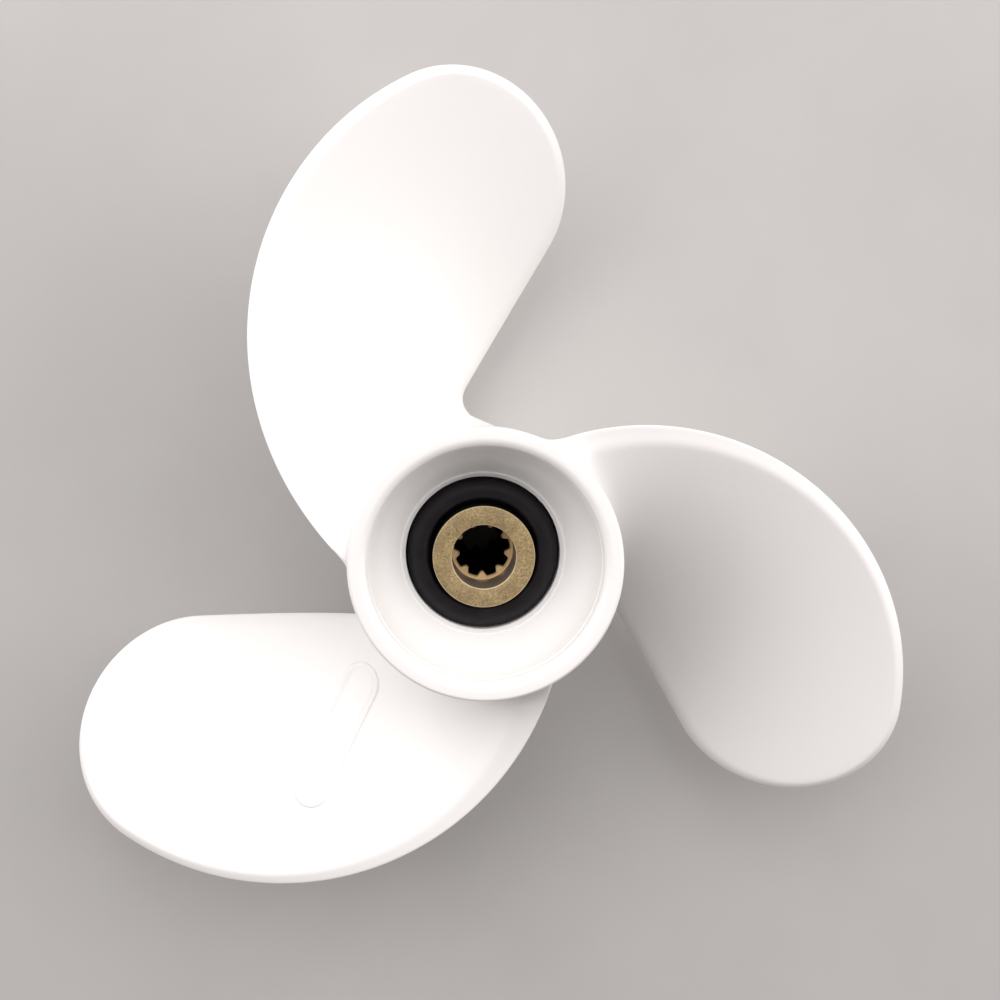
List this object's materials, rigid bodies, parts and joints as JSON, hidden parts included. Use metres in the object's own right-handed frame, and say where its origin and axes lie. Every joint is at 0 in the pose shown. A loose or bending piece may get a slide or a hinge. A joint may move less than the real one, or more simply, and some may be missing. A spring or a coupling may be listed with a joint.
{
  "type": "boat propeller",
  "caption": "White painted outboard propeller with swept round-tipped blades on a tapered hub, driven through a rubber bush with a splined bronze sleeve.",
  "frame": {"origin": "on the shaft axis, in the plane of the hub's flat rear end", "axes": "+Z along the shaft axis towards the front end of the hub, which faces the gearcase; +X and +Y square to it, with one blade 110 degrees round from +X"},
  "size_m": [0.1707, 0.1625, 0.058],
  "materials": {
    "white_paint": "white gloss paint over die-cast aluminium",
    "black_rubber": "matte moulded rubber",
    "sintered_bronze": "fine-grained sintered bronze with bright turned edges"
  },
  "bodies": {
    "drive_bush": {"splined_sleeve": "sintered_bronze", "rubber_bush": "black_rubber"},
    "propeller": {"propeller_casting": "white_paint"}
  },
  "joints": [
    {"name": "hub_slip", "type": "hinge", "parent": "drive_bush", "child": "propeller", "pos_m": [0, 0, 0.03], "axis": [0, 0, 1], "continuous": true}
  ]
}
